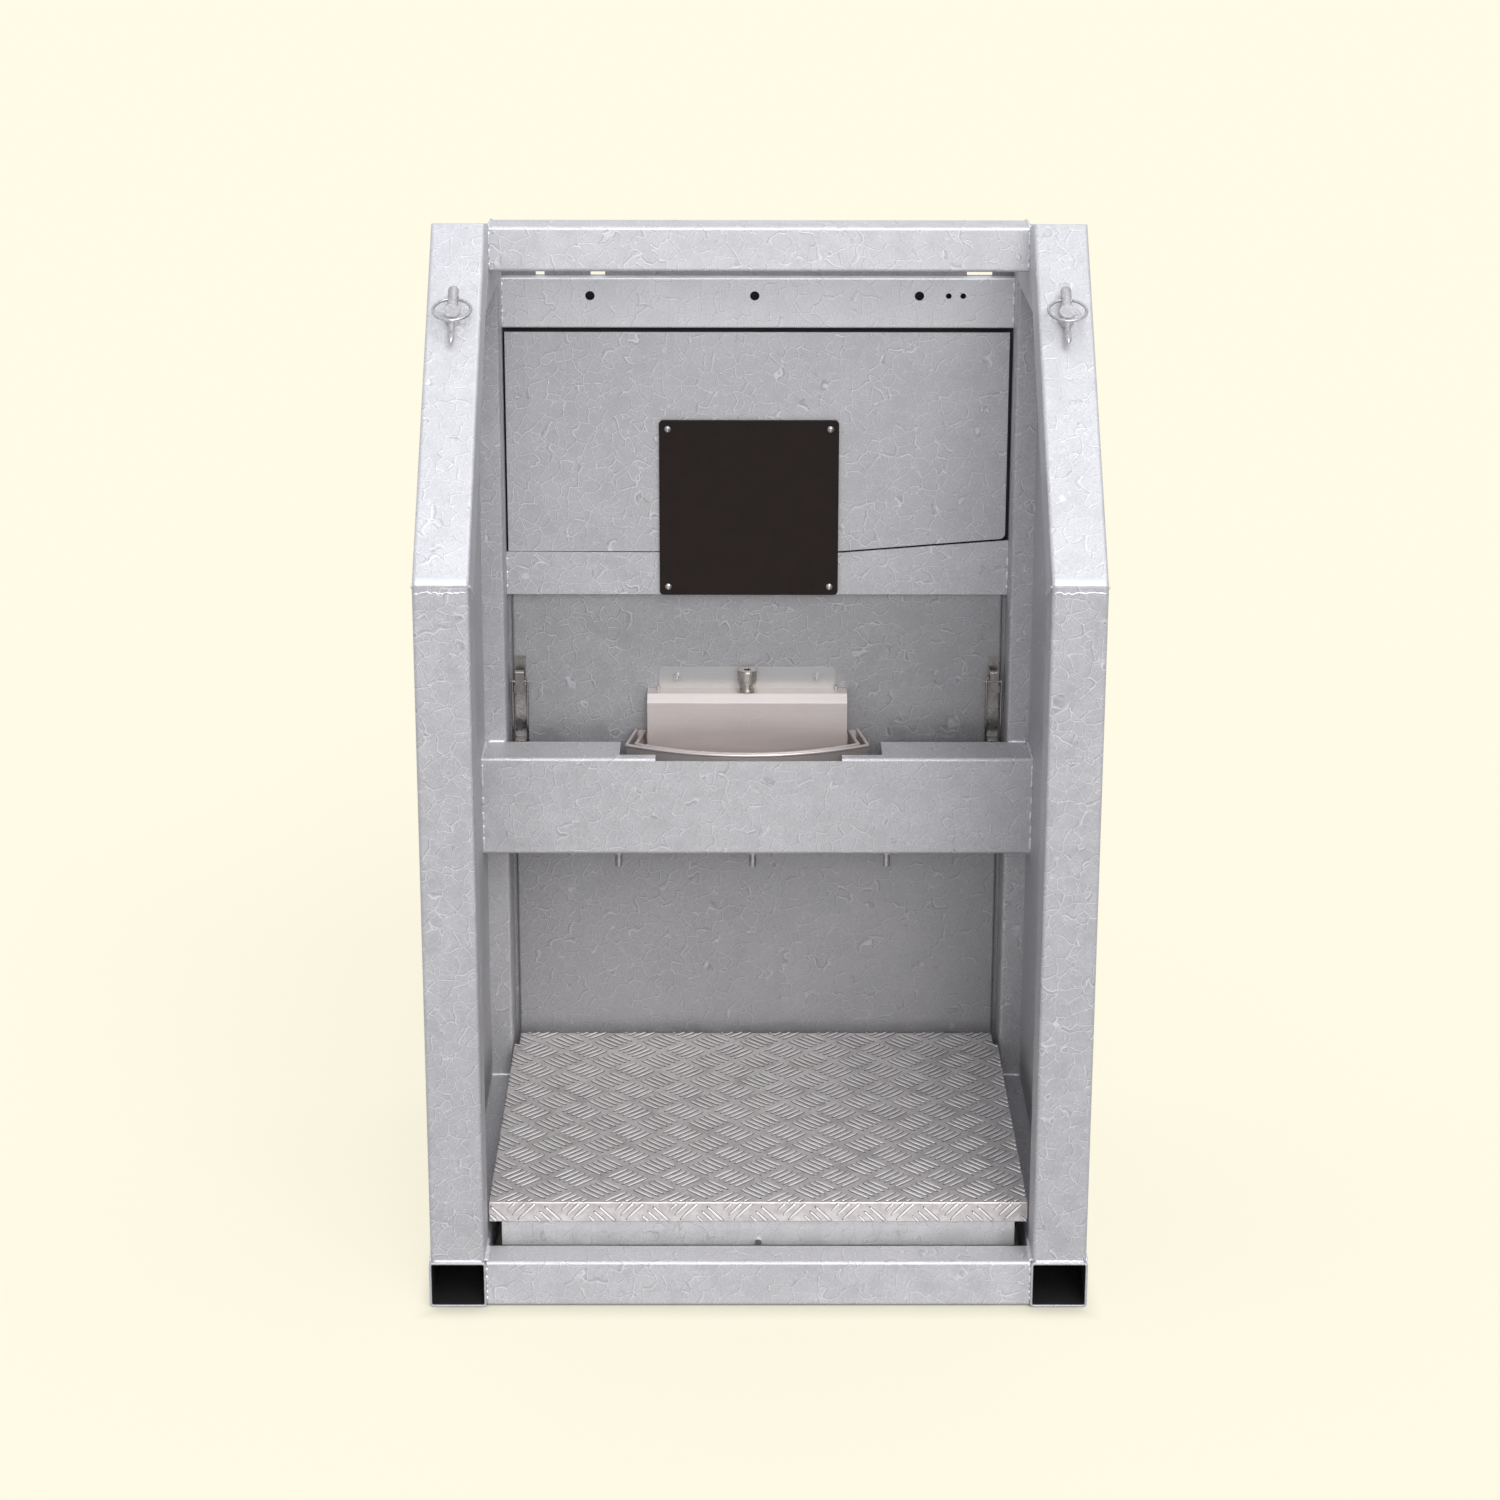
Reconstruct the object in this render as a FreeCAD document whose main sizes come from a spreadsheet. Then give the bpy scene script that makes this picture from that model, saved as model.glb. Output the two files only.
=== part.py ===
import FreeCAD, Part
import math
import os
import Sketcher
from FreeCAD import Vector, Rotation, Placement

os.makedirs("parts", exist_ok=True)
doc = FreeCAD.newDocument("drinking_weigh_station")

# ---------------------------------------------------------------- dimensions
# Millimetres.  +Z is up, the open front faces -Y, X = 0 is the middle of the
# frame, Y = 0 is half way between the two ends of the base tubes.
DIMS = [
    ("overall_w", 850, "width over the front posts"),
    ("post", 70, "square tube of posts and sloping rails"),
    ("wall", 3, "wall of all square tubes"),
    ("corner", 5, "outside corner radius of tubes"),
    ("mid_y", 335, "front post face to the origin"),
    ("tube_x", 390, "centre plane of posts, rails and base tubes"),
    ("inner_x", 355, "inside face of the posts"),
    ("base_w", 74, "base tube width"),
    ("base_h", 63, "base tube height"),
    ("base_len", 678, "base tube length"),
    ("base_in", 353, "inside face of the base tubes"),
    ("bar_d", 50, "depth of the floor crossbars"),
    ("bend_z", 970, "height of the mitred bend"),
    ("slope_run", 382, "level run of the sloping rail"),
    ("top_z", 1352, "highest point of the sloping rail"),
    ("rear_y", 600, "front face of the rear posts"),
    ("rear_top", 1306, "top of the rear posts and side rails"),
    ("sheet_t", 3, "sheet thickness"),
    ("panel_x", 387, "inside face of the side sheets"),
    ("beam_y", 432, "front face of the top beam"),
    ("beam_z", 1280, "underside of the top beam"),
    ("beam_s", 60, "top beam section"),
    ("reader_y", 650, "front face of the upper panels"),
    ("reader_z", 1164, "underside of the drilled beam"),
    ("reader_h", 70, "height of the drilled beam"),
    ("flange_d", 20, "depth of folded flanges"),
    ("hole_big", 13, "large holes in the drilled beam"),
    ("hole_small", 8, "small holes in the drilled beam"),
    ("hole_z", 1209, "height of the hole line"),
    ("plate_s", 252, "antenna plate side"),
    ("plate_t", 7, "antenna plate thickness"),
    ("plate_x", -12, "antenna plate centre"),
    ("plate_z", 782, "antenna plate underside"),
    ("strip_z", 781, "underside of the lower strip"),
    ("back_y", 660, "front face of the back panel"),
    ("back_x", 348, "half width of the back panel"),
    ("back_z", 70, "underside of the back panel"),
    ("rail_y", 525, "front face of the mid rail"),
    ("rail_z", 434, "underside of the mid rail"),
    ("rail_h", 143, "height of the mid rail"),
    ("bolt_pitch", 191, "spacing of the mid rail bolts"),
    ("bolt_y", 560, "mid rail bolt line"),
    ("plat_x", 354, "half width of the platform"),
    ("plat_y", 72, "front edge of the platform"),
    ("plat_z", 113, "top of the platform"),
    ("plat_lip", 28, "depth of the folded lip"),
    ("plat_t", 4, "tread plate thickness"),
    ("cell_h", 30, "load cell height"),
    ("cover_w", 285, "valve cover width"),
    ("cover_d", 39, "valve cover depth"),
    ("cover_h", 90, "valve cover height"),
    ("drink_x", -14, "centre of the drinker"),
    ("pin_s", 388, "stud position along the sloping rail"),
    ("stud_r", 10, "stud radius"),
    ("stud_h", 24, "stud height"),
    ("pin_r", 4, "linch pin shaft radius"),
    ("pin_axis", 14, "linch pin height above the rail"),
    ("ring_r", 24, "linch pin ring centre line radius"),
    ("latch_x", 339, "centre plane of the toggle latches"),
]
sheet = doc.addObject("Spreadsheet::Sheet", "Dims")
for row, (alias, value, note) in enumerate(DIMS, start=1):
    sheet.set("A%d" % row, note)
    sheet.set("B%d" % row, str(value))
    sheet.setAlias("B%d" % row, alias)
doc.recompute()


def dim(alias):
    return float(sheet.get(alias))


def bind(obj, prop, text):
    """Tie a property to the sheet; names in the text are sheet aliases."""
    words = text.replace("(", " ( ").replace(")", " ) ").split()
    known = {row[0] for row in DIMS}
    obj.setExpression(prop, " ".join("Dims." + w if w in known else w for w in words))


exported = []


def publish(obj, name):
    obj.Label = name
    exported.append(obj)
    return obj


# ------------------------------------------------------------ basic builders
def box(name, at, size):
    """Box with its low corner and size given as sheet expressions."""
    item = doc.addObject("Part::Box", name)
    for prop, text in zip(("Length", "Width", "Height"), size):
        bind(item, prop, text)
    for axis, text in zip("xyz", at):
        bind(item, "Placement.Base." + axis, text)
    return item


def rod(name, at, radius, height, direction=(0, 0, 1)):
    """Cylinder from a point along a direction; sizes are expressions."""
    item = doc.addObject("Part::Cylinder", name)
    bind(item, "Radius", radius)
    bind(item, "Height", height)
    item.Placement = Placement(Vector(0, 0, 0), Rotation(Vector(0, 0, 1), Vector(*direction)))
    for axis, text in zip("xyz", at):
        bind(item, "Placement.Base." + axis, text)
    return item


def join(name, parts):
    item = doc.addObject("Part::MultiFuse", name)
    item.Shapes = parts
    item.Refine = True
    return item


def carve(name, base, tool):
    item = doc.addObject("Part::Cut", name)
    item.Base = base
    item.Tool = tool
    item.Refine = True
    return item


def group(name, parts):
    item = doc.addObject("Part::Compound", name)
    item.Links = parts
    return item


def round_edges(name, base, radius, choose):
    """Fillet the edges of a finished shape that the test picks."""
    doc.recompute()
    item = doc.addObject("Part::Fillet", name)
    item.Base = base
    picked = [i + 1 for i, e in enumerate(base.Shape.Edges) if choose(e)]
    item.Edges = [(i, radius, radius) for i in picked]
    return item


def slope_edges(name, base, size, choose):
    """Chamfer the edges of base that choose(edge) accepts."""
    doc.recompute()
    obj = doc.addObject("Part::Chamfer", name)
    obj.Base = base
    obj.Edges = [(i + 1, size, size) for i, e in enumerate(base.Shape.Edges) if choose(e)]
    return obj


def along(axis, length=0.0):
    """Edge test: straight, parallel to the axis and at least this long."""
    def test(edge):
        if not isinstance(edge.Curve, (Part.Line, Part.LineSegment)):
            return False
        a = edge.Vertexes[0].Point
        b = edge.Vertexes[-1].Point
        d = b.sub(a)
        if d.Length < max(length, 1e-6):
            return False
        d.normalize()
        return abs(abs(d.dot(Vector(*axis))) - 1.0) < 1e-6
    return test


def profile_sketch(body, name, role, wires):
    """Closed outlines drawn on one of the body's own origin planes."""
    sketch = body.newObject("Sketcher::SketchObject", name)
    plane = [f for f in body.Origin.OriginFeatures if f.Role == role][0]
    sketch.AttachmentSupport = [(plane, "")]
    sketch.MapMode = "FlatFace"
    for points in wires:
        first = sketch.GeometryCount
        for i, p in enumerate(points):
            q = points[(i + 1) % len(points)]
            sketch.addGeometry(Part.LineSegment(Vector(p[0], p[1], 0), Vector(q[0], q[1], 0)))
        count = len(points)
        for i in range(count):
            nxt = first + (i + 1) % count
            sketch.addConstraint(Sketcher.Constraint("Coincident", first + i, 2, nxt, 1))
    return sketch


def extruded(name, role, outer, thick, at, inner=None, bore=None, fillet=None):
    """Body padded both ways from an origin plane, with an optional bore."""
    body = doc.addObject("PartDesign::Body", name)
    pad = body.newObject("PartDesign::Pad", name + "_pad")
    pad.Profile = profile_sketch(body, name + "_outline", role, [outer])
    pad.Midplane = True
    bind(pad, "Length", thick)
    doc.recompute()
    if fillet:
        axis, radius = fillet
        test = along(axis, 20.0)
        names = ["Edge%d" % (i + 1) for i, e in enumerate(pad.Shape.Edges) if test(e)]
        rounded = body.newObject("PartDesign::Fillet", name + "_round")
        rounded.Base = (pad, names)
        bind(rounded, "Radius", radius)
        doc.recompute()
    if inner:
        pocket = body.newObject("PartDesign::Pocket", name + "_bore")
        pocket.Profile = profile_sketch(body, name + "_inside", role, [inner])
        pocket.Midplane = True
        bind(pocket, "Length", bore)
        before = body.Shape.Volume
        doc.recompute()
        assert body.Shape.Volume < before, name + ": the bore cuts nothing"
    for key, text in zip("xyz", at):
        bind(body, "Placement.Base." + key, text)
    return body


def box_tube(name, axis, at, size, fillet=True):
    """Square tube along x, y or z, open at both ends."""
    shell = box(name + "_out", at, size)
    if fillet:
        direction = {"x": (1, 0, 0), "y": (0, 1, 0), "z": (0, 0, 1)}[axis]
        shell = round_edges(name + "_round", shell, dim("corner"), along(direction, 20.0))
    grow = {True: ("%s - 1", "%s + 2"), False: ("%s + wall", "%s - 2 * wall")}
    low = [grow[axis == k][0] % t for k, t in zip("xyz", at)]
    big = [grow[axis == k][1] % t for k, t in zip("xyz", size)]
    core = box(name + "_in", low, big)
    if fillet:
        direction = {"x": (1, 0, 0), "y": (0, 1, 0), "z": (0, 0, 1)}[axis]
        core = round_edges(name + "_in_round", core, dim("corner") - dim("wall"), along(direction, 20.0))
    return carve(name, shell, core)


def side_name(s):
    return "left" if s < 0 else "right"


MID = dim("mid_y")
POST = dim("post")
WALL = dim("wall")


def from_front(points):
    """Side outline measured from the front face, moved to the origin."""
    return [(y - MID, z) for y, z in points]


# ------------------------------------------------------------------- the base
for s in (-1, 1):
    x0 = "base_in" if s > 0 else "0 - base_in - base_w"
    tube = box_tube("base_tube_%s" % side_name(s), "y", (x0, "0 - base_len / 2", "0"),
                    ("base_w", "base_len", "base_h"))
    publish(tube, side_name(s) + "_base_tube")

front_bar = box_tube("front_bar", "x", ("0 - base_in", "0 - mid_y", "0"),
                     ("2 * base_in", "bar_d", "base_h"))
publish(front_bar, "front_crossbar")
rear_bar = box_tube("rear_bar", "x", ("0 - base_in", "mid_y - bar_d", "0"),
                    ("2 * base_in", "bar_d", "base_h"))
publish(rear_bar, "rear_crossbar")

# -------------------------------------------- posts, sloping rails, side rails
MITRE = math.tan(math.radians(22.5))
BEND = dim("bend_z")
RUN = dim("slope_run")
TOP = dim("top_z")
FALL = math.tan(math.radians(15.0))      # the top cut falls towards the back
low_c = BEND - POST * MITRE - POST       # underside of the rail: z = y + low_c
cap_y = (TOP + RUN * FALL - low_c) / (1.0 + FALL)
up_in = BEND - WALL * math.sqrt(2.0)     # inside of the rail's upper wall
low_in = low_c + WALL * math.sqrt(2.0)
cap_in = TOP - WALL / math.cos(math.radians(15.0)) + RUN * FALL
hid_y = (cap_in - up_in) / (1.0 + FALL)
lid_y = (cap_in - low_in) / (1.0 + FALL)
B_H = dim("base_h")
R_TOP = dim("rear_top")
R_Y = dim("rear_y")

post_out = from_front([(0, B_H), (POST, B_H), (POST, BEND - POST * MITRE), (0, BEND)])
post_in = from_front([(WALL, B_H - 5), (POST - WALL, B_H - 5),
                      (POST - WALL, BEND - POST * MITRE + 6), (WALL, BEND + 5)])
rail_out = from_front([(0, BEND), (POST, BEND - POST * MITRE), (cap_y, cap_y + low_c), (RUN, TOP)])
rail_in = from_front([(-2, up_in - 2), (62, 62 + low_in), (lid_y, lid_y + low_in), (hid_y, hid_y + up_in)])
side_low = R_TOP - POST
side_out = from_front([(side_low - low_c, side_low), (R_Y, side_low), (R_Y, R_TOP), (R_TOP - low_c, R_TOP)])
side_in = from_front([(side_low + WALL - low_c - 5, side_low + WALL), (R_Y + 5, side_low + WALL),
                      (R_Y + 5, R_TOP - WALL), (R_TOP - WALL - low_c - 5, R_TOP - WALL)])
sheet_out = from_front([(POST, B_H), (R_Y, B_H), (R_Y, side_low), (side_low - low_c, side_low),
                        (POST, POST + low_c)])
SLANT = (0, math.sqrt(0.5), math.sqrt(0.5))

for s in (-1, 1):
    side = side_name(s)
    at = ("%d * tube_x" % s, "0", "0")
    bore = "post - 2 * wall"
    post = extruded("post_" + side, "YZ_Plane", post_out, "post", at, post_in, bore, ((0, 0, 1), "corner"))
    publish(post, side + "_front_post")
    rail = extruded("slope_" + side, "YZ_Plane", rail_out, "post", at, rail_in, bore, (SLANT, "corner"))
    publish(rail, side + "_sloping_rail")
    upper = extruded("side_rail_" + side, "YZ_Plane", side_out, "post", at, side_in, bore,
                     ((0, 1, 0), "corner"))
    publish(upper, side + "_side_rail")
    # the rear post is closed on top by a welded cap
    x0 = "inner_x" if s > 0 else "0 - inner_x - post"
    shell = box("rear_shell_" + side, (x0, "rear_y - mid_y", "base_h"), ("post", "post", "rear_top - base_h"))
    shell = round_edges("rear_round_" + side, shell, dim("corner"), along((0, 0, 1), 20.0))
    core = box("rear_core_" + side, (x0 + " + wall", "rear_y - mid_y + wall", "base_h - 1"),
               ("post - 2 * wall", "post - 2 * wall", "rear_top - base_h + 1 - wall"))
    publish(carve("rear_post_" + side, shell, core), side + "_rear_post")
    # side sheet let in between the posts, on the middle plane of the tubes
    panel = extruded("side_sheet_" + side, "YZ_Plane", sheet_out, "sheet_t",
                     ("%d * ( panel_x + sheet_t / 2 )" % s, "0", "0"))
    publish(panel, side + "_side_panel")

# --------------------------------------------------------- beams and upper box
beam = box_tube("beam", "x", ("0 - inner_x", "beam_y - mid_y", "beam_z"), ("2 * inner_x", "beam_s", "beam_s"))
publish(beam, "top_beam")

web = box("reader_web", ("0 - inner_x", "reader_y - mid_y", "reader_z"),
          ("2 * inner_x", "sheet_t", "reader_h"))
lip_top = box("reader_lip_top", ("0 - inner_x", "reader_y - mid_y", "reader_z + reader_h - sheet_t"),
              ("2 * inner_x", "flange_d", "sheet_t"))
lip_low = box("reader_lip_low", ("0 - inner_x", "reader_y - mid_y", "reader_z"),
              ("2 * inner_x", "flange_d", "sheet_t"))
channel = join("reader_channel", [web, lip_top, lip_low])
channel = round_edges("reader_round", channel, 2.5,
                      lambda e: along((1, 0, 0), 20.0)(e) and abs(e.CenterOfMass.y - 315.0) < 0.01)
drills = []
for i, (x, bore) in enumerate([(-232.5, "hole_big"), (-4.5, "hole_big"), (223.5, "hole_big"),
                               (264, "hole_small"), (284, "hole_small")]):
    drills.append(rod("reader_drill_%d" % i, (str(x), "reader_y - mid_y - 5", "hole_z"),
                      bore + " / 2", "15", (0, 1, 0)))
publish(carve("reader", channel, join("reader_drills", drills)), "drilled_beam")

def plate_screw_drills(tag, radius):
    """Four drills on the antenna plate's screw positions, through the sheets."""
    return [rod("%s_drill_%d" % (tag, i), ("plate_x + %d * 114" % dx, "reader_y - mid_y - plate_t - 1",
                                           "plate_z + %d" % z), radius, "14", (0, 1, 0))
            for i, (dx, z) in enumerate([(-1, 12), (1, 12), (-1, 240), (1, 240)])]


# fixed panel with a cut that runs up to the right; the strip below follows it
panel_out = [(-352, 844), (112, 844), (350, 863), (350, 1158), (-352, 1158)]
panel = extruded("upper_sheet", "XZ_Plane", panel_out, "sheet_t",
                 ("0", "reader_y - mid_y + sheet_t / 2", "0"))
panel = round_edges("upper_round", panel, 8.0,
                    lambda e: along((0, 1, 0), 1.0)(e) and e.CenterOfMass.x > 340 and e.CenterOfMass.z < 900)
publish(carve("upper", panel, join("upper_drills", plate_screw_drills("upper", "2.6"))), "upper_panel")

strip_out = [(-355, 781), (355, 781), (355, 860.5), (112, 841.5), (-355, 843.4)]
strip_face = extruded("strip_face", "XZ_Plane", strip_out, "sheet_t",
                      ("0", "reader_y - mid_y + sheet_t / 2", "0"))
strip_lip = box("strip_lip", ("0 - inner_x", "reader_y - mid_y", "strip_z"),
                ("2 * inner_x", "flange_d", "sheet_t"))
strip = join("strip_raw", [strip_face, strip_lip])
publish(carve("strip", strip, join("strip_drills", plate_screw_drills("strip", "2.6"))), "lower_strip")

# closes the box from behind and stands up past the drilled beam, with three
# shallow cut-outs in its top edge
cover_sheet = box("reader_cover", ("0 - inner_x - 35", "mid_y", "strip_z"),
                  ("2 * inner_x + 70", "sheet_t", "1262 - strip_z"))
cover_slots = [box("reader_slot_%d" % i, (x, "mid_y - 1", "1235"), (wide, "sheet_t + 2", "30"))
               for i, (x, wide) in enumerate([("0 - 308", "12"), ("0 - 232", "20"), ("290", "35")])]
publish(carve("rear_sheet", cover_sheet, join("reader_slots", cover_slots)), "rear_cover")

plate = box("antenna_raw", ("plate_x - plate_s / 2", "reader_y - mid_y - plate_t", "plate_z"),
            ("plate_s", "plate_t", "plate_s"))
plate = round_edges("antenna_corner", plate, 6.0, along((0, 1, 0), 1.0))
screws = []
for i, (dx, z) in enumerate([(-1, 12), (1, 12), (-1, 240), (1, 240)]):
    at = ("plate_x + %d * 114" % dx, "reader_y - mid_y - plate_t - 1", "plate_z + %d" % z)
    shank = rod("antenna_shank_%d" % i, at, "2.5", "15", (0, 1, 0))
    head = doc.addObject("Part::Sphere", "antenna_head_%d" % i)
    head.Radius = 6.0
    for axis, text in zip("xyz", ("plate_x + %d * 114" % dx, "reader_y - mid_y - plate_t + 3.2",
                                  "plate_z + %d" % z)):
        bind(head, "Placement.Base." + axis, text)
    keep = rod("antenna_keep_%d" % i, ("plate_x + %d * 114" % dx, "reader_y - mid_y - plate_t - 4",
                                       "plate_z + %d" % z), "4.8", "4", (0, 1, 0))
    dome = doc.addObject("Part::Common", "antenna_dome_%d" % i)
    dome.Base = head
    dome.Tool = keep
    socket = rod("antenna_socket_%d" % i, ("plate_x + %d * 114" % dx, "reader_y - mid_y - plate_t - 4",
                                           "plate_z + %d" % z), "1.5", "3", (0, 1, 0))
    screws.append(carve("antenna_screw_%d" % i, join("antenna_body_%d" % i, [dome, shank]), socket))
publish(carve("antenna", plate, join("antenna_drills", plate_screw_drills("antenna", "2.6"))),
        "antenna_plate")
publish(group("antenna_screw_set", screws), "antenna_screws")

# the aerial coil lies behind the plate, in the flat box of the upper panel
coil_out = doc.addObject("Part::Box", "coil_out")
coil_in = doc.addObject("Part::Box", "coil_in")
for item, inset in ((coil_out, 20), (coil_in, 32)):
    bind(item, "Length", "plate_s - 2 * %d" % inset)
    bind(item, "Width", "8")
    bind(item, "Height", "plate_s - 2 * %d" % inset)
    bind(item, "Placement.Base.x", "plate_x - plate_s / 2 + %d" % inset)
    bind(item, "Placement.Base.y", "reader_y - mid_y + sheet_t")
    bind(item, "Placement.Base.z", "plate_z + %d" % inset)
publish(carve("coil", coil_out, coil_in), "aerial_coil")

# ------------------------------------------------------------------ back panel
# tray-shaped sheet: the sides fold back and out again behind the face
pieces = [box("back_face", ("0 - back_x", "back_y - mid_y", "back_z"),
              ("2 * back_x", "sheet_t", "strip_z - back_z - 1"))]
for tag, fold_x, flange_x in (("l", "0 - back_x", "0 - inner_x + 0.4"),
                              ("r", "back_x - sheet_t", "back_x - sheet_t")):
    pieces.append(box("back_fold_" + tag, (fold_x, "back_y - mid_y", "back_z"),
                      ("sheet_t", "12", "strip_z - back_z - 1")))
    pieces.append(box("back_flange_" + tag, (flange_x, "back_y - mid_y + 9", "back_z"),
                      ("inner_x - back_x + sheet_t - 0.4", "sheet_t", "strip_z - back_z - 1")))
back = join("back_tray", pieces)
back = round_edges("back_round", back, 2.5,
                   lambda e: along((0, 0, 1), 20.0)(e) and abs(e.CenterOfMass.y - 325.0) < 0.01
                   and abs(abs(e.CenterOfMass.x) - 348.0) < 0.01)
back_drills = [rod("back_drill_%d" % i, ("drink_x + %d * 100" % dx, "back_y - mid_y - 8", "657"),
                   "3.1", "20", (0, 1, 0)) for i, dx in enumerate((-1, 1))]
publish(carve("back", back, join("back_drills", back_drills)), "back_panel")

# --------------------------------------------------------------------- mid rail
rail = box("mid_web", ("0 - panel_x", "rail_y - mid_y", "rail_z"), ("2 * panel_x", "sheet_t", "rail_h"))
rail_top = box("mid_top", ("0 - panel_x", "rail_y - mid_y", "rail_z + rail_h - sheet_t"),
               ("2 * panel_x", "rear_y - rail_y", "sheet_t"))
rail_low = box("mid_low", ("0 - panel_x", "rail_y - mid_y", "rail_z"),
               ("2 * panel_x", "rear_y - rail_y", "sheet_t"))
rail = join("mid_channel", [rail, rail_top, rail_low])
rail = round_edges("mid_round", rail, dim("corner"),
                   lambda e: along((1, 0, 0), 20.0)(e) and abs(e.CenterOfMass.y - 190.0) < 0.01)
well = box("mid_well", ("0 - 194", "rail_y - mid_y + 15.5", "rail_z + rail_h - 10"),
           ("370", "80", "20"))
notch = box("mid_notch", ("0 - 143", "rail_y - mid_y - 5", "rail_z + rail_h - 5"), ("262", "40", "10"))
bolts = []
nuts = []
holes = [well, notch]
for i in range(3):
    x = "0 - 6 + %d * bolt_pitch" % (i - 1)
    y = "bolt_y - mid_y"
    holes.append(rod("mid_drill_%d" % i, (x, y, "rail_z - 5"), "5.5", "15"))
    shank = rod("mid_shank_%d" % i, (x, y, "rail_z - 30"), "4.95", "34")
    head = doc.addObject("Part::Prism", "mid_head_%d" % i)
    head.Polygon = 6
    head.Circumradius = 9.2
    head.Height = 6.5
    for axis, text in zip("xyz", (x, y, "rail_z + sheet_t")):
        bind(head, "Placement.Base." + axis, text)
    bolts.append(join("mid_bolt_%d" % i, [shank, head]))
    hexagon = doc.addObject("Part::Prism", "mid_hex_%d" % i)
    hexagon.Polygon = 6
    hexagon.Circumradius = 9.2
    hexagon.Height = 8.0
    for axis, text in zip("xyz", (x, y, "rail_z - 10")):
        bind(hexagon, "Placement.Base." + axis, text)
    washer = rod("mid_washer_%d" % i, (x, y, "rail_z - 2"), "10", "2")
    tap = rod("mid_tap_%d" % i, (x, y, "rail_z - 12"), "5.0", "14")
    nuts.append(carve("mid_nut_%d" % i, join("mid_nut_body_%d" % i, [hexagon, washer]), tap))
publish(carve("mid_rail", rail, join("mid_holes", holes)), "mid_rail")
publish(group("mid_bolt_set", bolts), "mid_rail_bolts")
publish(group("mid_nut_set", nuts), "mid_rail_nuts")

# ------------------------------------------------------------------ drinker bowl
DX = dim("drink_x")
BOWL_Y = (536.0 - MID, 583.0 - MID, 655.0 - MID)   # front middle, front corners, rear
RIM_Z = dim("rail_z") + dim("rail_h")


def bowl_outline(inset, z, shrink=0.0):
    """Plan of the bowl: bowed front, sides closing in to the back."""
    half = 172.0 - inset - shrink
    rear = 160.0 - inset - shrink
    front = BOWL_Y[0] + 0.46 * inset + shrink
    corner = BOWL_Y[1] + 0.40 * inset + 0.3 * shrink
    a = Vector(DX - half, corner, z)
    m = Vector(DX, front, z)
    b = Vector(DX + half, corner, z)
    c = Vector(DX + rear, BOWL_Y[2] - 0.5 * inset - shrink, z)
    d = Vector(DX - rear, BOWL_Y[2] - 0.5 * inset - shrink, z)
    arc = Part.Arc(a, m, b).toShape()
    return Part.Wire([arc, Part.makeLine(b, c), Part.makeLine(c, d), Part.makeLine(d, a)])


def vessel(inset, depth, draft, thick):
    """Open pan with sloping sides."""
    top = bowl_outline(inset, RIM_Z)
    foot = bowl_outline(inset, RIM_Z - depth, draft)
    inner_top = bowl_outline(inset + thick, RIM_Z + 1.0)
    inner_foot = bowl_outline(inset + thick, RIM_Z - depth + thick, draft)
    outer = Part.makeLoft([foot, top], True, True)
    inner = Part.makeLoft([inner_foot, inner_top], True, True)
    return outer.cut(inner)


def rim(inset, radius):
    """Rolled bead along the front and the two sides of a pan."""
    path = bowl_outline(inset, RIM_Z)
    rear = max(v.Point.y for v in path.Vertexes)
    edges = [e for e in path.Edges if min(v.Point.y for v in e.Vertexes) < rear - 1.0]
    beads = []
    for edge in edges:
        start = edge.Vertexes[0].Point
        tangent = edge.tangentAt(edge.FirstParameter)
        circle = Part.Wire(Part.makeCircle(radius, start, tangent))
        beads.append(Part.Wire([edge]).makePipeShell([circle], True, True))
        for v in edge.Vertexes:
            beads.append(Part.makeSphere(radius, v.Point))
    return beads[0].fuse(beads[1:])


bowl_shape = vessel(0.0, 92.0, 8.0, 2.0).fuse(rim(1.0, 2.6)).removeSplitter()
bowl = doc.addObject("Part::Feature", "bowl_shape")
bowl.Shape = bowl_shape
publish(bowl, "bowl")
liner_shape = vessel(13.0, 78.0, 6.0, 1.5).fuse(rim(13.8, 2.4)).removeSplitter()
liner = doc.addObject("Part::Feature", "liner_shape")
liner.Shape = liner_shape
publish(liner, "bowl_liner")

# ---------------------------------------------------------------- valve cover
cover = box("cover_raw", ("drink_x - cover_w / 2", "back_y - mid_y - 3 - cover_d", "640 - cover_h"),
            ("cover_w", "cover_d", "cover_h"))
cover = slope_edges("cover_bend", cover, 11.0,
                    lambda e: along((1, 0, 0), 20.0)(e) and e.CenterOfMass.z > 630 and e.CenterOfMass.y < 300)
hollow = box("cover_hollow", ("drink_x - cover_w / 2 + 2", "back_y - mid_y - 1 - cover_d", "639 - cover_h"),
             ("cover_w - 4", "cover_d + 2", "cover_h - 1"))
hollow = slope_edges("cover_hollow_bend", hollow, 10.0,
                     lambda e: along((1, 0, 0), 20.0)(e) and e.CenterOfMass.z > 630
                     and e.CenterOfMass.y < 300)
port = rod("cover_port", ("drink_x", "back_y - mid_y - 22", "630"), "8.1", "20")
heel = box("cover_heel", ("drink_x - 200", "back_y - mid_y - 22", "500"), ("400", "30", "80.5"))
cover = carve("cover_shell", carve("cover_open", cover, hollow), join("cover_cuts", [port, heel]))
publish(cover, "valve_cover")

lugs = []
for i, dx in enumerate((-1, 1)):
    lugs.append(rod("cover_lug_%d" % i, ("drink_x + %d * 127" % dx, "back_y - mid_y - 12", "640"), "2.5", "4"))
publish(group("cover_studs", lugs), "cover_studs")

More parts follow.
